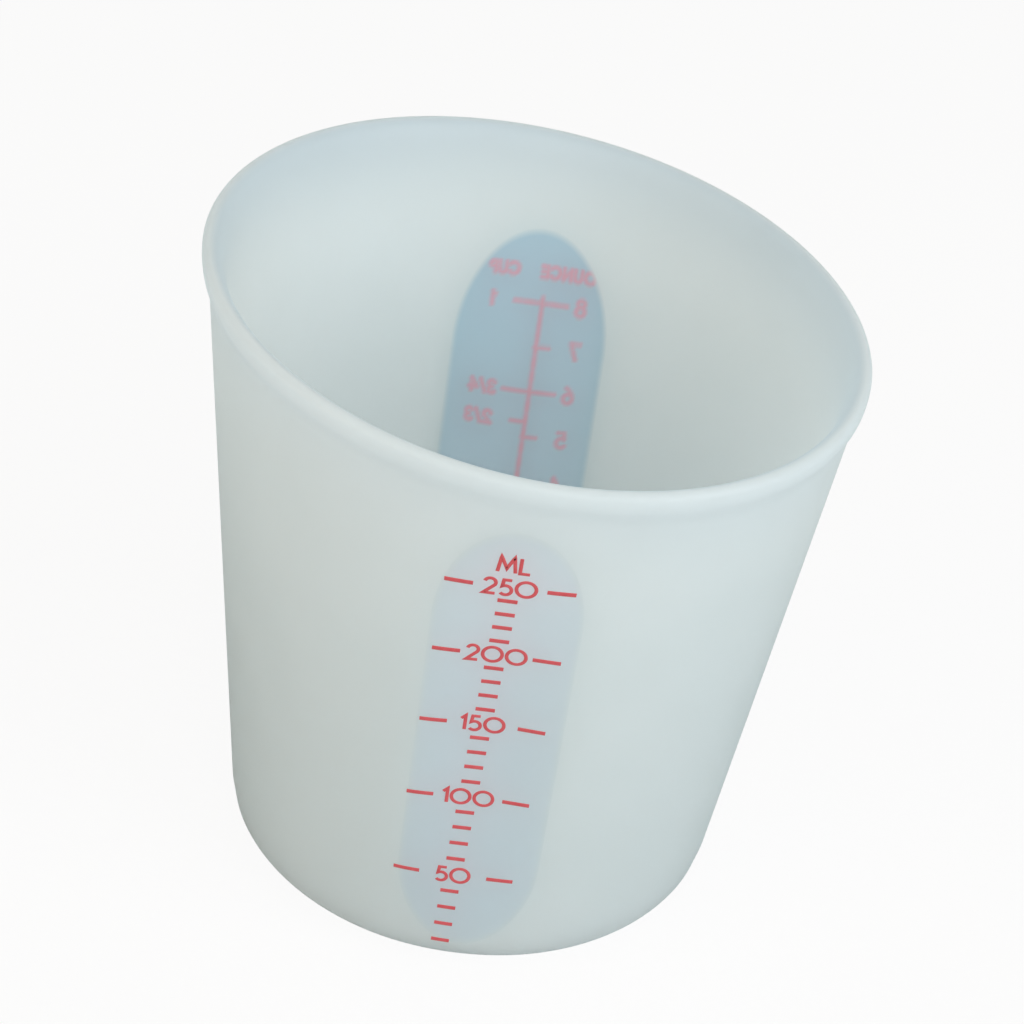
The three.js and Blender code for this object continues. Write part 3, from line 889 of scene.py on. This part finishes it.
spine = ribbon(line((0, ounce_level(1) - SPINE_END), (0, ounce_level(CUP_OUNCES) + SPINE_END)),
               SPINE_WIDTH, rear_window, OUNCE_SHIFT, 0.0, order=1)
for count in range(1, CUP_OUNCES + 1):
    is_cup_mark = count % 2 == 0
    spine += spine_tick(count, cross_tick if is_cup_mark else SINGLE_TICK, cross_tick if is_cup_mark else 0)
    word = str(count)
    middle = -ounce_edge - word_width(word, NUMERAL_SIZE) / 2
    numeral = word_ribbons(word, NUMERAL_SIZE, rear_window, middle, ounce_level(count))
    add_print(f"ounce_{word}_numeral", numeral, [f"ounce_{word}"])
for thirds in (1, 2):
    spine += spine_tick(CUP_OUNCES * thirds / 3, 0, SINGLE_TICK)
add_print("ounce_scale", spine, ["ounce_spine"])

# %% [markdown]
# The fractions of a cup stand beside their ticks. They are drawn smaller than the ounces, because three
# signs have to fit beside the spine. The two headings go above their scales.

# %% Cup fractions and headings
FRACTION_SIZE = 0.8 * NUMERAL_SIZE
FRACTION_PLACE = 6.3 * MM
HEADING_SIZE = 1.6 * MM
HEADING_RISE = 4.7 * MM  # over the top mark
CUP_HEADING_PLACE = 5.2 * MM
OUNCE_HEADING_PLACE = -4.7 * MM
for name, word, share in (("one", "1", 1), ("three_quarters", "3/4", 3 / 4), ("two_thirds", "2/3", 2 / 3),
                          ("half", "1/2", 1 / 2), ("third", "1/3", 1 / 3), ("quarter", "1/4", 1 / 4)):
    level = ounce_level(CUP_OUNCES * share)
    add_print(f"cup_{name}", word_ribbons(word, FRACTION_SIZE, rear_window, FRACTION_PLACE, level), [])
heading = ounce_level(CUP_OUNCES) + HEADING_RISE
for name, word, place in (("cup", "CUP", CUP_HEADING_PLACE), ("ounce", "OUNCE", OUNCE_HEADING_PLACE)):
    add_print(f"{name}_heading", word_ribbons(word, HEADING_SIZE, rear_window, place, heading), [])

# %% [markdown]
# ## The windows
#
# A window is a closed pane that fills its opening and follows both sides of the wall. Its rows are the
# heights, and its columns fan out to the width that the outline has at each height. It is a hair wider
# than the opening, as a part that was moulded onto the wall has no air at its edge.
#
# Three attributes tell the finish where it is on the pane: how near the edge, how much painted shade it
# gets on the inner face, and how near a pen line. Ink is on the outer face, and from inside it shows blurred
# through the rubber.
# Tracing light through the pane could show that too, but a pen line's distance is exact and free of noise.

# %% Window panes
BITE = 0.05 * MM  # how far the pane's edge goes into the wall
PANE_STEP = 0.3 * MM
EDGE_HAZE = 0.7 * MM
INK_CORE = 0.15 * MM  # full colour to this far from the pen's path
INK_BLUR = 0.4 * MM  # and none this much farther out
INK_SEEN = 0.65  # share of the ink's colour that comes through the pane
SIGHT_RISE = 0.8 * MM  # looking down into the cup, the ink shows this much higher on the inner face


def pane_rows(window):
    """Height and half width of the pane's rows: a quarter turn, the straight part, a quarter turn."""
    half = window.half + BITE
    end = END_STRETCH * half
    low, high = end_centres(window)
    quarter = np.linspace(0, np.pi / 2, round(end / PANE_STEP))
    straight = np.linspace(low, high, round((high - low) / PANE_STEP))[1:-1]
    z = np.concatenate([low - end * np.cos(quarter), straight, high + end * np.sin(quarter)])
    wide = np.concatenate([half * np.sin(quarter), np.full(straight.size, half), half * np.cos(quarter)])
    return z[:, None], wide[:, None]


def pane_patches(window):
    """Outside, inside and the two edges of a pane."""
    z, wide = pane_rows(window)
    across = wide * np.linspace(-1, 1, round(2 * window.half / PANE_STEP))
    outside = laid_on_wall(across, z, outer_radius(z), window.azimuth)
    inside = laid_on_wall(across, z, inner_radius(z), window.azimuth)
    right = np.stack([outside[:, -1], inside[:, -1]], axis=1)
    left = np.stack([inside[:, 0], outside[:, 0]], axis=1)
    return [outside, inside[:, ::-1], right, left]


def edge_share(window, across, z):
    """1 at the outline, falling to 0 at EDGE_HAZE inside it."""
    rise = (z - np.clip(z, *end_centres(window))) / END_STRETCH
    return np.clip(1 - (window.half - np.hypot(across, rise)) / EDGE_HAZE, 0, 1)


def ink_share(window, angle, radius, z):
    """INK_SEEN near a pen's path as seen through the pane, falling to 0 over INK_BLUR. The distance is
    made of the arc across and the height."""
    nearest = np.full(z.shape, np.inf)
    for path in pen_paths[window]:
        rise = z[:, None] - SIGHT_RISE - path[:, 1]
        gap = np.hypot((angle[:, None] - path[:, 0]) * radius[:, None], rise)
        nearest = np.minimum(nearest, gap.min(axis=1))
    return INK_SEEN * np.clip(1 - (nearest - INK_CORE) / INK_BLUR, 0, 1)


def mark_pane(pane, window):
    """Writes the attributes edge, inside and ink. Inside carries the inner face's painted shade."""
    x, y, z = piece_points(pane).T
    out, across = out_and_across(window, x, y)
    out = out + flat_depth(window, across, z)
    radius = np.hypot(out, across)
    inside = (radius < outer_radius(z) - WALL / 2).astype(float)
    # painted shade on the inner face, from foot_shade at the foot to top_shade at the top
    way = (z - window.low) / (window.high - window.low)
    shade = window.foot_shade + (window.top_shade - window.foot_shade) * way
    mark_points(pane, "edge", edge_share(window, across, z))
    mark_points(pane, "inside", inside * shade)
    mark_points(pane, "ink", inside * ink_share(window, np.arctan2(across, out), radius, z))


for name, node, window in (("front_pane", "front_window", front_window),
                           ("rear_pane", "rear_window", rear_window)):
    pane = add_piece(name, pane_patches(window), clear_silicone, [node])
    mark_pane(pane, window)

# %% [markdown]
# ## Floor and light
#
# A product photograph like this one is taken on a white sweep. A real sweep curves up behind the object.
# The camera looks down here, so a wide flat floor is enough. It is near white to the eye and still takes
# the cup's shadow, but what it throws back at the cup is dimmer, or the cup would glow from below.

# %% Floor
FLOOR_WHITE = 0.91  # share of plain white in what the eye sees of the floor
FLOOR_DIM = 0.38  # share of the light that the floor keeps back from the cup
SWEEP_HALF = 3.0  # metres

white_floor, tree, output = new_finish("white sweep")
paper = add_node(tree, "ShaderNodeBsdfDiffuse", {}, {"Color": linear("#FBFBFB")})
path = add_node(tree, "ShaderNodeLightPath")
white = add_node(tree, "ShaderNodeEmission", {}, {
    "Color": (1, 1, 1, 1), "Strength": path.outputs["Is Camera Ray"]})
share = add_node(tree, "ShaderNodeMath", {"operation": "MULTIPLY_ADD"}, {
    0: path.outputs["Is Camera Ray"], 1: FLOOR_WHITE - FLOOR_DIM, 2: FLOOR_DIM})
sweep = add_node(tree, "ShaderNodeMixShader", {}, {
    "Fac": share.outputs["Value"], 1: paper.outputs["BSDF"], 2: white.outputs["Emission"]})
tree.links.new(sweep.outputs["Shader"], output.inputs["Surface"])
corners = np.array([[-1, -1, 0], [1, -1, 0], [1, 1, 0], [-1, 1, 0]]) * SWEEP_HALF
floor_mesh = bpy.data.meshes.new("floor")
floor_mesh.from_pydata(corners, [], [(0, 1, 2, 3)])
floor_mesh.materials.append(white_floor)
floor = bpy.data.objects.new("floor", floor_mesh)
scene.collection.objects.link(floor)
print("floor", 2 * SWEEP_HALF, "m wide")

# %% [markdown]
# The light is large and soft. The world is white where it is seen, and a soft grey fill elsewhere. A dome
# of light alone would be simpler, but the cup would look flat under it. So three large lamps stand in
# front: a key on the right, a second one in the middle and a weak warm fill on the left.

# %% Light
FILL_STRENGTH = 0.33
LAMP_SIZE = 0.7  # metres
CUP_MIDDLE = np.array([0, 0, 0.05])
COOL = "#F5F9FF"
WARM = "#FFDCB8"

world = bpy.data.worlds.new("studio")
scene.world = world
world.use_nodes = True
tree = world.node_tree
tree.nodes.clear()
output = add_node(tree, "ShaderNodeOutputWorld")
path = add_node(tree, "ShaderNodeLightPath")
seen = add_node(tree, "ShaderNodeMath", {"operation": "MAXIMUM"}, {
    0: path.outputs["Is Camera Ray"], 1: path.outputs["Is Transmission Ray"]})
fill = add_node(tree, "ShaderNodeBackground", {}, {"Color": linear("#F8F5EC"), "Strength": FILL_STRENGTH})
white = add_node(tree, "ShaderNodeBackground", {}, {"Color": (1, 1, 1, 1), "Strength": 1.0})
both = add_node(tree, "ShaderNodeMixShader", {}, {
    "Fac": seen.outputs["Value"], 1: fill.outputs["Background"], 2: white.outputs["Background"]})
tree.links.new(both.outputs["Shader"], output.inputs["Surface"])


def add_lamp(name, place, power, colour):
    """A square soft lamp that shines from a place, in metres, at the middle of the cup."""
    data = bpy.data.lights.new(name, "AREA")
    data.shape = "SQUARE"
    data.size = LAMP_SIZE
    data.energy = power
    data.color = linear(colour)[:3]
    lamp = bpy.data.objects.new(name, data)
    back = np.array(place) - CUP_MIDDLE
    back /= np.linalg.norm(back)
    side = np.cross(UPRIGHT, back)
    side /= np.linalg.norm(side)
    matrix = np.eye(4)
    matrix[:3, :] = np.stack([side, np.cross(back, side), back, place], axis=1)
    lamp.matrix_world = Matrix(matrix.tolist())
    scene.collection.objects.link(lamp)


add_lamp("key", (0.8, -0.5, 0.5), 5.4, COOL)
add_lamp("front", (0.1, -1.0, 0.55), 4.2, COOL)
add_lamp("fill", (-0.7, -0.6, 0.45), 2.3, WARM)
